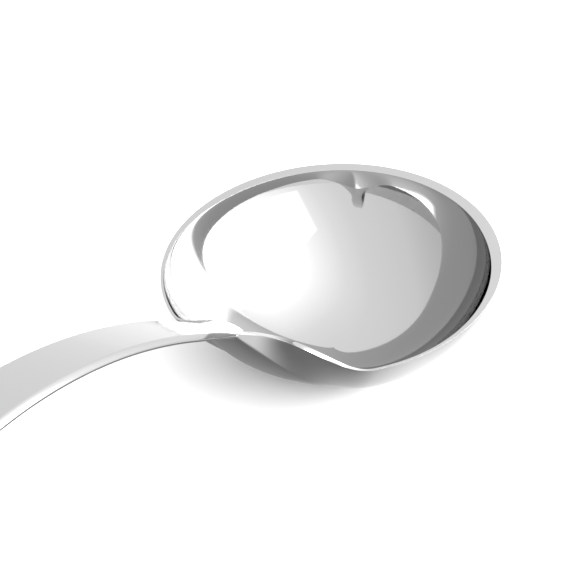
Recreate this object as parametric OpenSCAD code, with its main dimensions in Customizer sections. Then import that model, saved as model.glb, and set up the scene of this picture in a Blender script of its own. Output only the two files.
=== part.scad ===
// One-handled sauce ladle: a raised round bowl whose rim sweeps up into a flat-topped forged stem.
// Millimetres. +Z is up, +X points from the stem to the free side of the rim, y = 0 is the middle plane.
// The origin lies on the table, below the centre of the rim. The ladle stands as it lies in use:
// on the small flat under its bowl and on the end of its stem, with the rim leaning back.

/* [Bowl] */
// Outside length of the rim, along the stem
rim_l = 66.8; // [64:0.2:69]
// Outside width of the rim
rim_w = 66.2; // [64:0.2:69]
// Depth of the bowl below the plane of its rim, outside
bowl_depth = 24.1; // [23.4:0.1:25]
// Thickness of the bowl at its bottom
bowl_wall = 2; // [1.6:0.1:2.4]
// Angle by which the rim leans back on the table
rim_lean = 8.7; // [8:0.1:9.5]
// Height of the centre of the rim above the table
rim_height = 23.15; // [23:0.05:23.3]
// Width of the flat rim face on the free side
face_tip = 2.45; // [2:0.05:2.8]
// Width of the rim face where it meets the shoulders
face_side = 0.52; // [0.45:0.01:0.7]

/* [Shoulders] */
// Angle round the rim, from its free side, at which the rim starts to rise towards the stem
lip_start = 140; // [138:1:142]
// Distance from the centre of the rim to the point where the flat of the stem begins
root_x = 35.2; // [34.8:0.1:35.6]
// Height of that point above the centre of the rim
root_z = 3.8; // [3.5:0.1:4.1]
// Distance from the centre of the rim to the solder seam, at the narrowest place
neck_x = 44.7; // [44:0.1:45.4]
// Half of the width of the stem at the seam
neck_half = 3.7; // [3.5:0.1:4]

/* [Stem] */
// Distance from the centre of the rim to the end of the stem
stem_end = 196.2; // [190:0.2:200]
// Half of the width of the flat on top of the stem, beyond the neck
flat_half = 4.15; // [3.9:0.05:4.4]
// Half of the width of the stem near its end
end_half = 7.6; // [6.5:0.1:8.5]
// Thickness of the stem
stem_thick = 1.9; // [1.7:0.1:2.4]
// Width of the rounded edge beside the flat
edge_w = 0.9; // [0.7:0.05:1.1]
// Drop of the rounded edge below the flat
edge_drop = 0.8; // [0.6:0.05:1]
// Thickness of the silver solder between bowl and stem
seam = 0.15; // [0.1:0.05:0.3]

/* [Hidden] */
SILVER = [0.86, 0.86, 0.87];
SOLDER = [0.78, 0.78, 0.76];

// Counts of facets
RIM_STEPS = 28;
LIP_STEPS = 25;
NECK_STEPS = 5;
WALL_RINGS = 16;
STRIP_ROWS = 3;
STEM_STEPS = 56;
END_STEPS = 8;

// Wall curves: a full curve on the free side of the bowl, a gentle one on the heel
TIP_POWER = 3.45;
TIP_ROOT = 1.48;
HEEL_POWER = 1.71;
HEEL_ROOT = 1.11;
// The hollow is less full on the free side than the outside, so the wall thickens below the rim there
HOLLOW_POWER = 2.6;
HOLLOW_ROOT = 1.3;
// How late, going round from the free side, the hollow takes up the heel's curve
HOLLOW_LAG = 2.4;
// Half of the angle by which the neck's underside fans out down the heel
FAN = 19;
// Share of the wall below which it isn't drawn out towards the neck
LIFT_FROM = 0.28;

// Share of the shoulder where its inner edge reaches the root of the flat
ROOT_SHARE = 0.8;
// Angles from the free side between which the rim face narrows
FACE_WIDE = 45;
FACE_NARROW = 130;
// Crown of the rounded edge beside the flat
CROWN = 0.14;

// Path of the flat's middle line, seen from the side, heights counted from the centre of the rim
CREST = [-120, 34.5];
RISE_PATH = [[-root_x, root_z], [-66, 24.4], [-92, CREST[1]], CREST];
FALL_PATH = [CREST, [-158, CREST[1]], [-170, -8], [-stem_end, 0.52 * stem_thick - rim_height]];

function smooth(u) = let(c = max(0, min(1, u))) c * c * (3 - 2 * c);
function mix(a, b, u) = a * (1 - u) + b * u;
function bezier(p, u) =
    pow(1 - u, 3) * p[0] + 3 * u * pow(1 - u, 2) * p[1] + 3 * u * u * (1 - u) * p[2] + pow(u, 3) * p[3];

// The bowl is drawn with its rim level, then leant back; a negative angle levels it again
function lean(p, angle = rim_lean) = [
    p[0] * cos(angle) - p[2] * sin(angle),
    p[1],
    p[0] * sin(angle) + p[2] * cos(angle)
];
function face_width(t) =
    mix(face_side, face_tip, smooth((FACE_NARROW - abs(t)) / (FACE_NARROW - FACE_WIDE)));
function rim_point(t, inset) = [(rim_l / 2 - inset) * cos(t), (rim_w / 2 - inset) * sin(t), 0];

// Height of the flat's middle line at a distance x from the centre of the rim, by bisection on the path
function path_u(path, x, lo = 0, hi = 1, left = 24) =
    let(m = (lo + hi) / 2)
    left == 0 ? m
    : bezier(path, m)[0] > x ? path_u(path, x, m, hi, left - 1) : path_u(path, x, lo, m, left - 1);
function path_z(x) =
    let(path = x > CREST[0] ? RISE_PATH : FALL_PATH) bezier(path, path_u(path, x))[1];

// Half widths of the flat and of the whole stem, and the height of the stem's edge
function round_end(x) =
    let(d = (-x - (stem_end - end_half)) / end_half) d <= 0 ? 1 : sqrt(max(0, 1 - d * d));
function growth(x) = smooth((-x - 98) / 90) * (end_half - flat_half - edge_w);
function flat_w(x) =
    let(opening = smooth(pow(max(0, (-x - root_x) / 23), 0.8)))
    (flat_half * opening + growth(x)) * round_end(x);
function stem_w(x) =
    let(widening = smooth((-x - neck_x) / 15))
    (mix(neck_half, flat_half + edge_w, widening) + growth(x)) * round_end(x);
function edge_z(x) = path_z(x) - mix(0.35, edge_drop, smooth((-x - neck_x) / 6));

// Cross-section of the stem at x: the underside from the edge on +y (0) to the edge on -y (180)
function under_point(x, a) =
    let(c = cos(a), lowest = path_z(x) - stem_thick * mix(0.5, 1, round_end(x)))
    [x, stem_w(x) * sign(c) * pow(abs(c), 0.75), mix(edge_z(x), lowest, pow(abs(sin(a)), 0.75))];

// Shoulder on the side of positive y: its outer edge runs from the rim to the seam, its inner edge
// from the rim to the root of the flat and on along the side of the flat
ALONG_RIM = lean([-sin(lip_start), cos(lip_start), 0]);
OUTER_START = lean(rim_point(lip_start, 0));
INNER_START = lean(rim_point(lip_start, face_width(lip_start)));
NECK = [-neck_x, neck_half, edge_z(-neck_x)];
ROOT = [-root_x, 0, root_z];
OUTER_CURVE = [OUTER_START, OUTER_START + 7.6 * ALONG_RIM, NECK + [17.8, 2.6, -8.6], NECK];
INNER_CURVE = [INNER_START, INNER_START + 6.6 * ALONG_RIM, ROOT + [7.2, 10.4, -1.9], ROOT];
function lip_outer(s) = bezier(OUTER_CURVE, s);
function lip_inner(s) =
    s <= ROOT_SHARE
    ? let(u = s / ROOT_SHARE) bezier(INNER_CURVE, min(1, s * (1 + (1 / ROOT_SHARE - 1) * pow(u, 1.2))))
    : let(x = -mix(root_x, neck_x, (s - ROOT_SHARE) / (1 - ROOT_SHARE))) [x, flat_w(x), path_z(x)];

// A point on one side of the middle plane is the mirror of a point on the other
function onto(side, p) = [p[0], side * p[1], p[2]];

// Edge points of one side, from the free side of the rim to the seam. Each has an aim: the angle
// round the bowl at which its ray of the wall leaves the middle of the bottom.
RIM_ANGLES = [for (i = [0 : RIM_STEPS - 1]) i * lip_start / RIM_STEPS];
LIP_SHARES = [for (i = [0 : LIP_STEPS]) i / LIP_STEPS];
ROOT_STEP = round(ROOT_SHARE * LIP_STEPS);
OUTER_EDGE = concat(
    [for (t = RIM_ANGLES) lean(rim_point(t, 0))],
    [for (s = LIP_SHARES) lip_outer(s)]
);
OUTER_AIM = concat(RIM_ANGLES, [for (s = LIP_SHARES) mix(lip_start, 180 - FAN, s)]);
INNER_EDGE = concat(
    [for (t = RIM_ANGLES) lean(rim_point(t, face_width(t)))],
    [for (s = LIP_SHARES) lip_inner(s)]
);
INNER_AIM = concat(RIM_ANGLES, [for (s = LIP_SHARES) mix(lip_start, 180, min(1, s / ROOT_SHARE))]);
LAST = len(OUTER_EDGE) - 1;

// Power and root of the wall curve at an aim, outside and in the hollow
function heel_share(aim) = (1 - cos(aim)) / 2;
function outside_curve(aim) = mix([TIP_POWER, TIP_ROOT], [HEEL_POWER, HEEL_ROOT], heel_share(aim));
function hollow_curve(aim) =
    mix([HOLLOW_POWER, HOLLOW_ROOT], [HEEL_POWER, HEEL_ROOT], pow(heel_share(aim), HOLLOW_LAG));

// Wall of the bowl from the middle of its bottom (q = 0) to an edge point (q = 1)
function wall(edge, aim, q, depth, inset, curve) =
    let(
        level = lean(edge, -rim_lean),
        ring = rim_point(aim, inset),
        r = sin(90 * q),
        base = [ring[0] * r, ring[1] * r, -depth * pow(max(0, 1 - pow(r, curve[0])), 1 / curve[1])]
    )
    lean(base + (level - ring) * smooth((q - LIFT_FROM) / (1 - LIFT_FROM)));
function on_table(p) = [p[0], p[1], max(0, p[2] + rim_height)];

// Rays of one side's wall, each from the bottom's middle to the edge
function outer_ray(edge, aim) =
    let(curve = outside_curve(aim))
    [for (k = [0 : WALL_RINGS]) on_table(wall(edge, aim, k / WALL_RINGS, bowl_depth, 0, curve))];
function inner_ray(edge, aim) =
    let(inset = face_width(aim), curve = hollow_curve(aim), depth = bowl_depth - bowl_wall)
    [for (k = [0 : WALL_RINGS]) on_table(wall(edge, aim, k / WALL_RINGS, depth, inset, curve))];

// Triangles between two rows of points, and between a row and one point
function between(a, b) = [
    for (i = [0 : len(a) - 2])
    each [[a[i], a[i + 1], b[i + 1]], [a[i], b[i + 1], b[i]]]
];
function fan(c, row) = [for (i = [0 : len(row) - 2]) [c, row[i], row[i + 1]]];
function reversed(row) = [for (i = [len(row) - 1 : -1 : 0]) row[i]];
function sheet(rows) = [for (i = [0 : len(rows) - 2]) each between(rows[i], rows[i + 1])];
function area(t) = norm(cross(t[1] - t[0], t[2] - t[0]));
function turned(triangles) = [for (t = triangles) reversed(t)];
function mirrored(triangles) = [for (t = turned(triangles)) [for (p = t) onto(-1, p)]];

// A closed solid from its triangles; slivers with no area are left out
module solid(triangles) {
    kept = [for (t = triangles) if (area(t) > 1e-7) t];
    polyhedron(
        points = [for (t = kept) each t],
        faces = [for (i = [0 : len(kept) - 1]) [3 * i, 3 * i + 1, 3 * i + 2]],
        convexity = 6
    );
}

// Row of points across the rim face or the rounded edge, from its inner to its outer edge
function strip(inner, outer, crown) = [
    for (v = [0 : STRIP_ROWS])
    let(u = v / STRIP_ROWS) on_table(mix(inner, outer, u) + [0, 0, 4 * CROWN * crown * u * (1 - u)])
];

// Half of the stem's cross-section, from the crease of the flat to the middle underneath
function half_section(x) = concat(
    strip([x, flat_w(x), path_z(x)], [x, stem_w(x), edge_z(x)], 1),
    [for (k = [1 : NECK_STEPS]) on_table(under_point(x, 90 * k / NECK_STEPS))]
);
function section(x) =
    let(half = half_section(x)) concat(half, [for (i = [len(half) - 2 : -1 : 0]) onto(-1, half[i])]);
function end_face(row) = fan(row[0], [for (i = [1 : len(row) - 1]) row[i]]);

module bowl() {
    strips = [for (i = [0 : LAST])
        strip(INNER_EDGE[i], OUTER_EDGE[i], smooth((i - RIM_STEPS) / LIP_STEPS))];
    outer_rays = concat(
        [for (i = [0 : LAST]) outer_ray(OUTER_EDGE[i], OUTER_AIM[i])],
        [for (k = [1 : NECK_STEPS])
            outer_ray(under_point(-neck_x, 90 * k / NECK_STEPS), 180 - FAN + FAN * k / NECK_STEPS)]
    );
    inner_rays = [for (i = [0 : RIM_STEPS + ROOT_STEP]) inner_ray(INNER_EDGE[i], INNER_AIM[i])];
    half = concat(sheet(outer_rays), turned(sheet(inner_rays)), turned(sheet(strips)));
    crease = [for (i = [RIM_STEPS + ROOT_STEP : LAST]) strips[i][0]];
    flat = turned(between(crease, [for (p = crease) onto(-1, p)]));
    color(SILVER) solid(concat(half, mirrored(half), flat, turned(end_face(section(-neck_x)))));
}

// A length of stem as rows of cross-sections, closed at both ends
module loft(stations) {
    sections = [for (x = stations) section(x)];
    sides = turned(sheet([for (row = sections) concat(row, [row[0]])]));
    solid(concat(sides, end_face(sections[0]), turned(end_face(sections[len(sections) - 1]))));
}

module stem() {
    start = neck_x + seam;
    straight = stem_end - end_half;
    body = [for (i = [0 : STEM_STEPS]) -mix(start, straight, i / STEM_STEPS)];
    tip = [for (i = [1 : END_STEPS]) -(straight + end_half * sin(88 * i / END_STEPS))];
    color(SILVER) loft(concat(body, tip));
}

module solder_seam() {
    color(SOLDER) loft([-neck_x, -neck_x - seam]);
}

bowl();
stem();
solder_seam();
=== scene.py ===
import math

import bmesh
import bpy
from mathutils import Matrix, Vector


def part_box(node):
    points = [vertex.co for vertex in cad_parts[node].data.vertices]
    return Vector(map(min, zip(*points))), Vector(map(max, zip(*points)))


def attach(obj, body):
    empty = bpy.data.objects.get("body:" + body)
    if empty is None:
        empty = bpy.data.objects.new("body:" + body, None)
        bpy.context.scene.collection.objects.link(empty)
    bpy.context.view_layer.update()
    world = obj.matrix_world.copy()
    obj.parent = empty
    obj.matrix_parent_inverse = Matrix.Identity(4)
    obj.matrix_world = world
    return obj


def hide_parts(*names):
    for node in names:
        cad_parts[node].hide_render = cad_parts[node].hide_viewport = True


# A polished sauce ladle: bowl, stem and solder seam, each a dense mesh with rounded edges.
# The shape functions work in millimetres with z counted from the centre of the rim, as the CAD
# source does; put() moves points up to the table's frame and into metres. Angles round the rim
# and the bowl are in degrees and start at the free side.

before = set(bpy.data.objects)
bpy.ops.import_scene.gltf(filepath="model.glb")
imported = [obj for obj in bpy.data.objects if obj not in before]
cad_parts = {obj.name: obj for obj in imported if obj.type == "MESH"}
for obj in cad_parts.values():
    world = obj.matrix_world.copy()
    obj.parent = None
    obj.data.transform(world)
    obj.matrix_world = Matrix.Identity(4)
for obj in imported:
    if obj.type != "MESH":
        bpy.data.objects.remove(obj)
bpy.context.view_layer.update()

MM = 0.001
bowl_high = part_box("bowl")[1]
seam_low, seam_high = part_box("solder_seam")
stem_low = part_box("stem")[0]

# Rim, a little longer than wide, and the angles between which its flat face narrows
RIM_W = 2 * bowl_high[1] / MM
RIM_L = RIM_W + 0.6
RIM_LEAN = math.radians(8.7)
RIM_HEIGHT = 23.15
FACE_TIP, FACE_SIDE = 2.45, 0.52
FACE_WIDE, FACE_NARROW = 45, 130

# Bowl: powers and roots of its walls' curves, and how late the hollow takes up the heel's curve
BOWL_DEPTH = 24.1
BOWL_WALL = 2.0
TIP_POWER, TIP_ROOT = 3.45, 1.48
HEEL_POWER, HEEL_ROOT = 1.71, 1.11
HOLLOW_POWER, HOLLOW_ROOT, HOLLOW_LAG = 2.6, 1.3, 2.4

# Root of the flat, and the neck with the seam
ROOT_X, ROOT_Z = 35.2, 3.8
NECK_X = -seam_high[0] / MM
NECK_HALF = 3.7
SEAM = (seam_high[0] - seam_low[0]) / MM

# Shoulders by which the rim sweeps up into the stem: how far their edges run on along the rim, and
# from which side they come into the neck and the root
LIP_START = 140.0
OUTER_REACH, INNER_REACH = 7.6, 6.6
NECK_PULL, ROOT_PULL = Vector((17.8, 2.6, -8.6)), Vector((7.2, 10.4, -1.9))
# Share of the shoulder where its inner edge reaches the root, and how late that edge speeds up
ROOT_SHARE, ROOT_PACE = 0.8, 1.2
# Half of the angle by which the neck's underside fans out down the heel, and the share of the wall
# below which it isn't drawn out towards the neck
FAN = 19.0
LIFT_FROM = 0.28

# Stem: flat, rounded edges and underside
STEM_END = -stem_low[0] / MM
FLAT_HALF, END_HALF = 4.15, 7.6
STEM_THICK = 1.9
EDGE_W, EDGE_DROP, NECK_DROP = 0.9, 0.8, 0.35
EDGE_CROWN = 0.14
UNDER_POWER = 0.75
# At the very end of the stem: how thick it is below the flat, and how high the flat lies above the
# table, as shares of its thickness
END_SHARE, END_RISE = 0.5, 0.52

# Stretches of the stem over which the flat opens, the whole widens, the edge drops and the end grows
OPENING, OPENING_POWER = 23, 0.8
WIDENING = 15
DROPPING = 6
GROWTH_START, GROWTH = 98, 90

# Path of the flat's middle line, seen from the side, and the steps of the search on it
CREST = (-120.0, 34.5)
END_Z = END_RISE * STEM_THICK - RIM_HEIGHT
RISE_PATH = [(-ROOT_X, ROOT_Z), (-66.0, 24.4), (-92.0, CREST[1]), CREST]
FALL_PATH = [CREST, (-158.0, CREST[1]), (-170.0, -8.0), (-STEM_END, END_Z)]
BISECTIONS = 40

# Density of the visual meshes
RING_STEPS, LIP_STEPS, NECK_STEPS, WALL_STEPS = 72, 60, 10, 64
STEM_STEPS, END_STEPS, FLAT_STEPS = 150, 24, 6
FACE_SHARES = (0.3, 0.5, 0.7)
# Quarter of the rounded end that is drawn before it is closed, in degrees
END_ANGLE = 88
# Distance within which points are one
WELD = 1e-7

# Filed edges: steps and radii of their arcs, the longest arc as a share of the space beside it,
# and the place of the two points that support it
ARC_STEPS = 4
ARC_POINTS = ARC_STEPS + 3
INNER_RADIUS, OUTER_RADIUS, CREASE_RADIUS = 0.16, 0.2, 0.16
ARC_SHARE = 0.3
SUPPORT = 1.5


# ---------------------------------------------------------------- shape

def smooth(u):
    c = max(0.0, min(1.0, u))
    return c * c * (3 - 2 * c)


def mix(a, b, u):
    return a * (1 - u) + b * u


def bezier(p, u):
    p, v = [Vector(q) for q in p], 1 - u
    return p[0] * v ** 3 + p[1] * (3 * u * v ** 2) + p[2] * (3 * u * u * v) + p[3] * u ** 3


def lean(p, angle=RIM_LEAN):
    """The bowl is drawn with its rim level, then leant back; a negative angle levels it again."""
    c, s = math.cos(angle), math.sin(angle)
    return Vector((p[0] * c - p[2] * s, p[1], p[0] * s + p[2] * c))


def face_width(t):
    return mix(FACE_SIDE, FACE_TIP, smooth((FACE_NARROW - abs(t)) / (FACE_NARROW - FACE_WIDE)))


def rim_point(t, inset):
    a = math.radians(t)
    return Vector(((RIM_L / 2 - inset) * math.cos(a), (RIM_W / 2 - inset) * math.sin(a), 0))


def rim_direction(t):
    a = math.radians(t)
    return lean((-math.sin(a), math.cos(a), 0))


def path_z(x):
    """Height of the flat's middle line at x, by bisection on its path."""
    path = RISE_PATH if x > CREST[0] else FALL_PATH
    low, high = 0.0, 1.0
    for _ in range(BISECTIONS):
        middle = (low + high) / 2
        if bezier(path, middle)[0] > x:
            low = middle
        else:
            high = middle
    return bezier(path, (low + high) / 2)[1]


def round_end(x):
    """Share of its width that the stem has at x, less than all of it only in its rounded end."""
    d = (-x - (STEM_END - END_HALF)) / END_HALF
    return 1.0 if d <= 0 else math.sqrt(max(0.0, 1 - d * d))


def growth(x):
    return smooth((-x - GROWTH_START) / GROWTH) * (END_HALF - FLAT_HALF - EDGE_W)


def flat_w(x):
    opening = smooth(max(0.0, (-x - ROOT_X) / OPENING) ** OPENING_POWER)
    return (FLAT_HALF * opening + growth(x)) * round_end(x)


def stem_w(x):
    widening = smooth((-x - NECK_X) / WIDENING)
    return (mix(NECK_HALF, FLAT_HALF + EDGE_W, widening) + growth(x)) * round_end(x)


def edge_z(x):
    return path_z(x) - mix(NECK_DROP, EDGE_DROP, smooth((-x - NECK_X) / DROPPING))


def under_point(x, a):
    """Point of the stem's underside at x, from the edge on positive y (0) to the middle (90)."""
    c, s = math.cos(math.radians(a)), math.sin(math.radians(a))
    lowest = path_z(x) - STEM_THICK * mix(END_SHARE, 1, round_end(x))
    y = stem_w(x) * math.copysign(abs(c) ** UNDER_POWER, c)
    return Vector((x, y, mix(edge_z(x), lowest, abs(s) ** UNDER_POWER)))


# Edges of the shoulder on the side of positive y: from the rim to the neck and to the root
NECK = Vector((-NECK_X, NECK_HALF, edge_z(-NECK_X)))
ROOT = Vector((-ROOT_X, 0, ROOT_Z))
ALONG_RIM = rim_direction(LIP_START)
OUTER_START = lean(rim_point(LIP_START, 0))
INNER_START = lean(rim_point(LIP_START, face_width(LIP_START)))
OUTER_CURVE = [OUTER_START, OUTER_START + OUTER_REACH * ALONG_RIM, NECK + NECK_PULL, NECK]
INNER_CURVE = [INNER_START, INNER_START + INNER_REACH * ALONG_RIM, ROOT + ROOT_PULL, ROOT]


def lip_outer(s):
    return bezier(OUTER_CURVE, s)


def lip_inner(s):
    """Inner edge of the shoulder: to the root, and from there along the side of the flat."""
    if s <= ROOT_SHARE:
        u = s / ROOT_SHARE
        return bezier(INNER_CURVE, min(1.0, s * (1 + (1 / ROOT_SHARE - 1) * u ** ROOT_PACE)))
    x = -mix(ROOT_X, NECK_X, (s - ROOT_SHARE) / (1 - ROOT_SHARE))
    return Vector((x, flat_w(x), path_z(x)))


def heel_share(aim):
    """How far round the bowl an angle is, from the free side (0) to the heel (1)."""
    return (1 - math.cos(math.radians(aim))) / 2


def outside_curve(aim):
    """Power and root of the wall's curve on the outside of the bowl."""
    heel = heel_share(aim)
    return mix(TIP_POWER, HEEL_POWER, heel), mix(TIP_ROOT, HEEL_ROOT, heel)


def hollow_curve(aim):
    """Power and root of the wall's curve in the hollow."""
    heel = heel_share(aim) ** HOLLOW_LAG
    return mix(HOLLOW_POWER, HEEL_POWER, heel), mix(HOLLOW_ROOT, HEEL_ROOT, heel)


def wall(edge, aim, q, depth, inset, curve):
    """Point of a wall, from the middle of the bottom (q = 0) to a point of its edge (q = 1)."""
    level = lean(edge, -RIM_LEAN)
    ring = rim_point(aim, inset)
    power, root = curve
    r = math.sin(math.pi / 2 * q)
    base = Vector((ring[0] * r, ring[1] * r, -depth * max(0.0, 1 - r ** power) ** (1 / root)))
    return lean(base + (level - ring) * smooth((q - LIFT_FROM) / (1 - LIFT_FROM)))


def put(p):
    """A point on or above the table, in metres."""
    return Vector((p[0], p[1], max(0.0, p[2] + RIM_HEIGHT))) * MM


def mirror(p):
    return Vector((p[0], -p[1], p[2]))


def rounded(before, corner, after, radius):
    """Points of a small arc that replaces a corner, with a support point at each side of it."""
    a, b = before - corner, after - corner
    ra = min(radius, ARC_SHARE * a.length)
    rb = min(radius, ARC_SHARE * b.length)
    a, b = a.normalized(), b.normalized()
    start, end = corner + a * ra, corner + b * rb
    arc = []
    for i in range(ARC_STEPS + 1):
        u = i / ARC_STEPS
        arc.append(start * (1 - u) ** 2 + corner * (2 * u * (1 - u)) + end * u * u)
    return [corner + a * (SUPPORT * ra)] + arc + [corner + b * (SUPPORT * rb)]


# ---------------------------------------------------------------- meshes

def face_points(inner, outer, crown):
    """Points along the face between the inner and the outer edge, with a slight crown."""
    rise = Vector((0, 0, EDGE_CROWN * crown))
    return [mix(inner, outer, u) + rise * (4 * u * (1 - u)) for u in FACE_SHARES]


def outside_points(edge, aim):
    """Points down the outer wall, from below its edge to the middle of the underside."""
    curve, steps = outside_curve(aim), range(WALL_STEPS - 1, -1, -1)
    return [wall(edge, aim, k / WALL_STEPS, BOWL_DEPTH, 0, curve) for k in steps]


def inside_points(edge, aim):
    """Points up the inner wall, from the middle of the inside to just below its edge."""
    curve, depth, inset = hollow_curve(aim), BOWL_DEPTH - BOWL_WALL, face_width(aim)
    return [wall(edge, aim, k / WALL_STEPS, depth, inset, curve) for k in range(WALL_STEPS)]


def bowl_section(outer, inner, outer_aim, inner_aim, crown):
    """Points from the middle of the inside, over the rim, to the middle of the underside."""
    face = face_points(inner, outer, crown)
    outside = outside_points(outer, outer_aim)
    inside = inside_points(inner, inner_aim)
    # At the root the arc runs on into the flat, towards a point one millimetre up the stem
    beyond = ROOT + Vector((-1, 0, path_z(-ROOT_X - 1) - ROOT_Z)) if inner == ROOT else face[0]
    into = rounded(inside[-1], inner, beyond, INNER_RADIUS)
    return inside + into + face + rounded(face[-1], outer, outside[0], OUTER_RADIUS) + outside


def flat_section(x, inner, outer, below, crown):
    """Points from the middle of the flat over its crease and the rounded edge."""
    face = face_points(inner, outer, crown)
    flat = [Vector((x, inner[1] * k / FLAT_STEPS, inner[2])) for k in range(FLAT_STEPS)]
    crease = rounded(flat[-1], inner, face[0], CREASE_RADIUS)
    return flat + crease + face + rounded(face[-1], outer, below, OUTER_RADIUS)


def half_section(x):
    """Half of the stem's cross-section, from the middle of the flat to the middle underneath."""
    flat = Vector((x, flat_w(x), path_z(x)))
    edge = Vector((x, stem_w(x), edge_z(x)))
    under = [under_point(x, 90 * k / NECK_STEPS) for k in range(1, NECK_STEPS + 1)]
    return flat_section(x, flat, edge, under[0], 1) + under


def join_rows(bm, rows):
    """Quads between neighbouring rows, on the side of positive y and on its mirror."""
    for turn in (Vector, mirror):
        grid = [[bm.verts.new(put(turn(p))) for p in row] for row in rows]
        for a, b in zip(grid, grid[1:]):
            for i in range(len(a) - 1):
                bm.faces.new((a[i], a[i + 1], b[i + 1], b[i]))


def close_end(bm, x):
    """Flat face over the cross-section at x."""
    half = half_section(x)
    whole = half + [mirror(p) for p in reversed(half[1:-1])]
    bm.faces.new([bm.verts.new(put(p)) for p in whole])


def finish_piece(bm, name, node):
    """Weld the points, shade all but the flat ends smooth, and hand the piece to the frame."""
    bmesh.ops.remove_doubles(bm, verts=bm.verts, dist=WELD)
    bmesh.ops.dissolve_degenerate(bm, edges=bm.edges, dist=WELD)
    bmesh.ops.recalc_face_normals(bm, faces=bm.faces)
    ends = [f for f in bm.faces if len(f.verts) > 4]
    for face in bm.faces:
        face.smooth = face not in ends
    for face in ends:
        for edge in face.edges:
            edge.smooth = False
    mesh = bpy.data.meshes.new(name)
    bm.to_mesh(mesh)
    bm.free()
    piece = bpy.data.objects.new(name, mesh)
    bpy.context.scene.collection.objects.link(piece)
    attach(piece, "root")
    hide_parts(node)
    return piece


def make_bowl():
    """Sections round the rim and the shoulders, then the neck with its flat, then the heel."""
    bm = bmesh.new()
    sections = []
    for i in range(RING_STEPS):
        t = LIP_START * i / RING_STEPS
        inner, outer = lean(rim_point(t, face_width(t))), lean(rim_point(t, 0))
        sections.append(bowl_section(outer, inner, t, t, 0))
    root_step = round(ROOT_SHARE * LIP_STEPS)
    for i in range(root_step + 1):
        s = i / LIP_STEPS
        inner_aim = mix(LIP_START, 180, i / root_step)
        outer_aim = mix(LIP_START, 180 - FAN, s)
        sections.append(bowl_section(lip_outer(s), lip_inner(s), outer_aim, inner_aim, smooth(s)))
    join_rows(bm, sections)

    # From the root to the neck the two sides meet in the flat, whose first row is one point: the
    # last one of the arc at the root
    start = WALL_STEPS + ARC_POINTS - 1
    lead = FLAT_STEPS + ARC_POINTS - 1
    neck_part = [[sections[-1][start]] * lead + sections[-1][start:]]
    below = under_point(-NECK_X, 90 / NECK_STEPS)
    for i in range(root_step + 1, LIP_STEPS + 1):
        s = i / LIP_STEPS
        inner, outer = lip_inner(s), lip_outer(s)
        outside = outside_points(outer, mix(LIP_START, 180 - FAN, s))
        after = below if i == LIP_STEPS else outside[0]
        neck_part.append(flat_section(inner[0], inner, outer, after, smooth(s)) + outside)
    join_rows(bm, neck_part)

    # Underneath, rays run from the neck's rounded underside to the middle of the bottom
    heel = [neck_part[-1][-WALL_STEPS - 1:]]
    for k in range(1, NECK_STEPS + 1):
        edge = under_point(-NECK_X, 90 * k / NECK_STEPS)
        heel.append([edge] + outside_points(edge, 180 - FAN + FAN * k / NECK_STEPS))
    join_rows(bm, heel)
    close_end(bm, -NECK_X)
    return finish_piece(bm, "bowl_shell", "bowl")


def make_length(stations, name, node):
    """A length of stem between two cross-sections, with a row of points at each station."""
    bm = bmesh.new()
    join_rows(bm, [half_section(x) for x in stations])
    close_end(bm, stations[0])
    close_end(bm, stations[-1])
    return finish_piece(bm, name, node)


def make_stem():
    straight_end = STEM_END - END_HALF
    start = NECK_X + SEAM
    stations = [-mix(start, straight_end, i / STEM_STEPS) for i in range(STEM_STEPS + 1)]
    for i in range(1, END_STEPS + 1):
        stations.append(-(straight_end + END_HALF * math.sin(math.radians(END_ANGLE * i / END_STEPS))))
    return make_length(stations, "stem_bar", "stem")


def make_seam():
    stations = [-NECK_X, -NECK_X - SEAM / 2, -NECK_X - SEAM]
    return make_length(stations, "solder_line", "solder_seam")


# ---------------------------------------------------------------- materials

# Reflectance of the silver and of the solder
SILVER, SOLDER = (0.41, 0.41, 0.41), (0.4, 0.4, 0.395)

# Slow changes of polish, and hairlines drawn out along the stem
POLISH_SCALE, POLISH_DETAIL = 60.0, 3.0
POLISH_LOW, POLISH_HIGH = 0.35, 0.65
HAIR_STRETCH, HAIR_DETAIL, HAIR_DEPTH = (300.0, 4200.0, 2600.0), 2.0, 0.00002

# Painted shadow of the bowl on the copy of the table that only the silver mirrors: that copy has a
# painted glow beyond it
PAINTED_SHADOW_MIDDLE = (-0.25, 0.25, 0.0)
PAINTED_SHADOW_START, PAINTED_SHADOW_END = 0.34, 0.372

# Part of the light panel, from its middle to its edges, over which its glow fades
PANEL_FADE, PANEL_EDGE = 0.3, 0.5


def add_node(nodes, kind, values):
    """New node with constants on its inputs."""
    node = nodes.new(kind)
    for socket, value in values.items():
        node.inputs[socket].default_value = value
    return node


def new_material(name):
    material = bpy.data.materials.new(name)
    material.use_nodes = True
    nodes, links = material.node_tree.nodes, material.node_tree.links
    nodes.clear()
    return material, nodes, links


def show(nodes, links, shader):
    """Put a shader on the surface."""
    output = nodes.new("ShaderNodeOutputMaterial")
    links.new(shader, output.inputs["Surface"])


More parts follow.
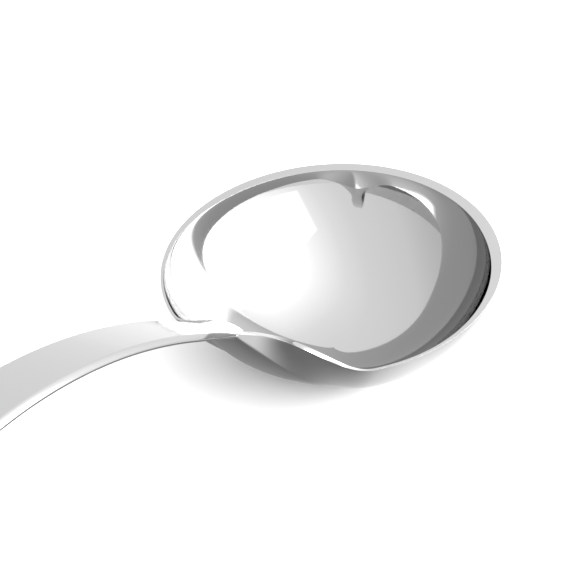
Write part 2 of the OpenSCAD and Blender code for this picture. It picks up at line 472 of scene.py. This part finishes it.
def silver(name, colour, low, high, bump):
    """Polished silver: faint hairlines and slow changes of polish between two roughnesses."""
    material, nodes, links = new_material(name)
    shader = add_node(nodes, "ShaderNodeBsdfPrincipled", {"Metallic": 1.0, "Base Color": (*colour, 1.0)})
    show(nodes, links, shader.outputs["BSDF"])
    place = nodes.new("ShaderNodeTexCoord")
    slow = add_node(nodes, "ShaderNodeTexNoise", {"Scale": POLISH_SCALE, "Detail": POLISH_DETAIL})
    links.new(place.outputs["Object"], slow.inputs["Vector"])
    polish = add_node(nodes, "ShaderNodeMapRange", {
        "From Min": POLISH_LOW, "From Max": POLISH_HIGH, "To Min": low, "To Max": high})
    links.new(slow.outputs["Fac"], polish.inputs["Value"])
    links.new(polish.outputs["Result"], shader.inputs["Roughness"])
    stretch = add_node(nodes, "ShaderNodeMapping", {"Scale": HAIR_STRETCH})
    links.new(place.outputs["Object"], stretch.inputs["Vector"])
    hair = add_node(nodes, "ShaderNodeTexNoise", {"Scale": 1.0, "Detail": HAIR_DETAIL})
    links.new(stretch.outputs["Vector"], hair.inputs["Vector"])
    scratches = add_node(nodes, "ShaderNodeBump", {"Strength": bump, "Distance": HAIR_DEPTH})
    links.new(hair.outputs["Fac"], scratches.inputs["Height"])
    links.new(scratches.outputs["Normal"], shader.inputs["Normal"])
    return material


def matt(name, albedo, glow=0.0):
    """Matt grey or white, with a painted glow if asked; its nodes, links and shader come along."""
    material, nodes, links = new_material(name)
    shader = add_node(nodes, "ShaderNodeBsdfPrincipled", {
        "Base Color": (albedo, albedo, albedo, 1.0),
        "Roughness": 0.9,
        "Specular IOR Level": 0.0,
        "Emission Color": (1, 1, 1, 1),
        "Emission Strength": glow})
    show(nodes, links, shader.outputs["BSDF"])
    return material, nodes, links, shader


def ranged(nodes, links, source, start, end, low, high):
    """Smooth step of a value, from low at start to high at end."""
    step = add_node(nodes, "ShaderNodeMapRange", {
        "From Min": start, "From Max": end, "To Min": low, "To Max": high})
    step.interpolation_type = "SMOOTHSTEP"
    links.new(source, step.inputs["Value"])
    return step.outputs["Result"]


def painted_glow_table(name, albedo, glow):
    """Matt table with a painted glow outside a painted shadow of the bowl, which lies round a given
    middle point.
    """
    material, nodes, links, shader = matt(name, albedo)
    place = nodes.new("ShaderNodeTexCoord")
    away = nodes.new("ShaderNodeVectorMath")
    away.operation = "DISTANCE"
    away.inputs[1].default_value = PAINTED_SHADOW_MIDDLE
    links.new(place.outputs["Object"], away.inputs[0])
    strength = ranged(nodes, links, away.outputs["Value"], PAINTED_SHADOW_START, PAINTED_SHADOW_END, 0.0, glow)
    links.new(strength, shader.inputs["Emission Strength"])
    return material


def soft_panel(name, glow):
    """Glow added to the tent behind it, fading out over the outer parts of its width and height."""
    material, nodes, links = new_material(name)
    place = nodes.new("ShaderNodeTexCoord")
    centred = nodes.new("ShaderNodeVectorMath")
    centred.operation = "SUBTRACT"
    centred.inputs[1].default_value = (0.5, 0.5, 0.0)
    links.new(place.outputs["Generated"], centred.inputs[0])
    size = nodes.new("ShaderNodeVectorMath")
    size.operation = "ABSOLUTE"
    links.new(centred.outputs["Vector"], size.inputs[0])
    parts = nodes.new("ShaderNodeSeparateXYZ")
    links.new(size.outputs["Vector"], parts.inputs["Vector"])
    lowest = nodes.new("ShaderNodeMath")
    lowest.operation = "MINIMUM"
    for i, part in enumerate(("X", "Y")):
        level = ranged(nodes, links, parts.outputs[part], PANEL_FADE, PANEL_EDGE, glow, 0.0)
        links.new(level, lowest.inputs[i])
    emission = nodes.new("ShaderNodeEmission")
    links.new(lowest.outputs["Value"], emission.inputs["Strength"])
    clear = nodes.new("ShaderNodeBsdfTransparent")
    both = nodes.new("ShaderNodeAddShader")
    links.new(emission.outputs["Emission"], both.inputs[0])
    links.new(clear.outputs["BSDF"], both.inputs[1])
    show(nodes, links, both.outputs["Shader"])
    return material


bowl = make_bowl()
stem = make_stem()
seam = make_seam()
bowl.data.materials.append(silver("polished_silver", SILVER, low=0.03, high=0.06, bump=0.04))
stem.data.materials.append(silver("hand_polished_silver", SILVER, low=0.06, high=0.12, bump=0.1))
seam.data.materials.append(silver("solder_silver", SOLDER, low=0.05, high=0.1, bump=0.1))


# ---------------------------------------------------------------- camera, floor and light

# Directions are in degrees: azimuth from +X towards +Y, and elevation. Lengths are in metres.
CAMERA_TARGET = Vector((-0.01281, 0.00335, 0.0236))
CAMERA_DIRECTION, CAMERA_DISTANCE = (-153, 30.94), 0.3026
CAMERA_LENS, CAMERA_SENSOR = 101.05, 36

# Point of the bowl that the light and the panel face
BOWL_MIDDLE = (0, 0, 0.02)
LIGHT_DIRECTION, LIGHT_DISTANCE = (-93, 29.5), 1.1
PANEL_DIRECTION, PANEL_DISTANCE = (-84, 30), 1.15

# Grey card at the far edge of the table, seen only in the silver: a painted dark reflection
EDGE_DIRECTION, EDGE_DISTANCE, EDGE_HEIGHT = (145, 0), 0.55, 0.04
EDGE_TURN = 55

TABLE_SIZE = 6.0

# White tent: where it is brightest, and its levels from the side away from there (0) to there (1)
TENT_DIRECTION = (-80, 35)
TENT_LEVELS = [
    (0.0, 0.97), (0.15, 1.09), (0.32, 1.39), (0.6, 1.56), (0.72, 1.77),
    (0.8, 2.06), (0.86, 2.3), (0.92, 2.7), (0.96, 3.2), (1.0, 3.6)]
TENT = TENT_LEVELS[-1][1]


def toward(azimuth, elevation):
    """Unit vector to a place in the studio."""
    a, e = math.radians(azimuth), math.radians(elevation)
    return Vector((math.cos(e) * math.cos(a), math.cos(e) * math.sin(a), math.sin(e)))


def aim_at(thing, place, target):
    thing.location = place
    thing.rotation_euler = (Vector(target) - Vector(place)).to_track_quat("-Z", "Y").to_euler()


def add_camera():
    data = bpy.data.cameras.new("camera")
    data.sensor_width = CAMERA_SENSOR
    data.lens = CAMERA_LENS
    camera = bpy.data.objects.new("camera", data)
    bpy.context.scene.collection.objects.link(camera)
    aim_at(camera, CAMERA_TARGET + toward(*CAMERA_DIRECTION) * CAMERA_DISTANCE, CAMERA_TARGET)
    bpy.context.scene.camera = camera


def add_card(name, width, height, material):
    """Flat card of the studio, centred on its own origin and facing its own +Z."""
    mesh = bpy.data.meshes.new(name)
    w, h = width / 2, height / 2
    mesh.from_pydata([(-w, -h, 0), (w, -h, 0), (w, h, 0), (-w, h, 0)], [], [(0, 1, 2, 3)])
    mesh.materials.append(material)
    card = bpy.data.objects.new(name, mesh)
    bpy.context.scene.collection.objects.link(card)
    return card


def only_mirrored(card):
    """The card shows in the silver, but neither to the camera nor on the table."""
    card.visible_camera = False
    card.visible_shadow = False
    card.visible_diffuse = False


def add_area(name, place, target, width, height, power):
    data = bpy.data.lights.new(name, "AREA")
    data.shape = "RECTANGLE"
    data.size, data.size_y = width, height
    data.energy = power
    light = bpy.data.objects.new(name, data)
    bpy.context.scene.collection.objects.link(light)
    aim_at(light, place, target)
    return light


def add_world():
    """White tent: brightest around the main light, dimmer on the side away from it."""
    world = bpy.data.worlds.new("studio_tent")
    bpy.context.scene.world = world
    world.use_nodes = True
    nodes, links = world.node_tree.nodes, world.node_tree.links
    background = nodes["Background"]
    place = nodes.new("ShaderNodeTexCoord")
    towards = nodes.new("ShaderNodeVectorMath")
    towards.operation = "DOT_PRODUCT"
    towards.inputs[1].default_value = toward(*TENT_DIRECTION)
    links.new(place.outputs["Generated"], towards.inputs[0])
    share = add_node(nodes, "ShaderNodeMapRange", {"From Min": -1.0, "From Max": 1.0})
    links.new(towards.outputs["Value"], share.inputs["Value"])
    ramp = nodes.new("ShaderNodeValToRGB")
    elements = ramp.color_ramp.elements
    while len(elements) < len(TENT_LEVELS):
        elements.new(0.5)
    for element, (position, level) in zip(elements, TENT_LEVELS):
        element.position = position
        element.color = (level / TENT, level / TENT, level / TENT, 1.0)
    links.new(share.outputs["Result"], ramp.inputs["Fac"])
    links.new(ramp.outputs["Color"], background.inputs["Color"])
    background.inputs["Strength"].default_value = TENT


add_camera()

# The table as it is seen, and a dimmer copy of it with a painted glow and a painted shadow that only the
# silver mirrors: a painted reflection of the table
# The table's faint glow is painted light that lifts its shadow a little
table_white = matt("table_white", albedo=0.78, glow=0.03)[0]
table = add_card("table", TABLE_SIZE, TABLE_SIZE, table_white)
table.visible_glossy = False
# Painted reflection of the table: dimmer than the table, glowing outside a painted shadow of the bowl
painted_reflection_white = painted_glow_table("painted_reflection_white", albedo=0.3, glow=1.15)
only_mirrored(add_card("painted_reflection_table", TABLE_SIZE, TABLE_SIZE, painted_reflection_white))
add_world()

light_place = toward(*LIGHT_DIRECTION) * LIGHT_DISTANCE
main_light = add_area("main_light", light_place, BOWL_MIDDLE, width=1.9, height=0.5, power=34)
main_light.visible_glossy = False

panel_white = soft_panel("panel_white", glow=8.5)
panel = add_card("main_panel", width=2.8, height=1.0, material=panel_white)
aim_at(panel, toward(*PANEL_DIRECTION) * PANEL_DISTANCE, BOWL_MIDDLE)
only_mirrored(panel)

# The grey card shows only in the silver, as a painted dark reflection
painted_dark_reflection_grey = matt("painted_dark_reflection_grey", albedo=0.25)[0]
edge = add_card("painted_dark_reflection_card", width=1.0, height=0.08, material=painted_dark_reflection_grey)
edge.location = toward(*EDGE_DIRECTION) * EDGE_DISTANCE + Vector((0, 0, EDGE_HEIGHT))
edge.rotation_euler = (math.radians(90), 0, math.radians(EDGE_TURN))
only_mirrored(edge)

bpy.context.scene.view_settings.view_transform = "Standard"
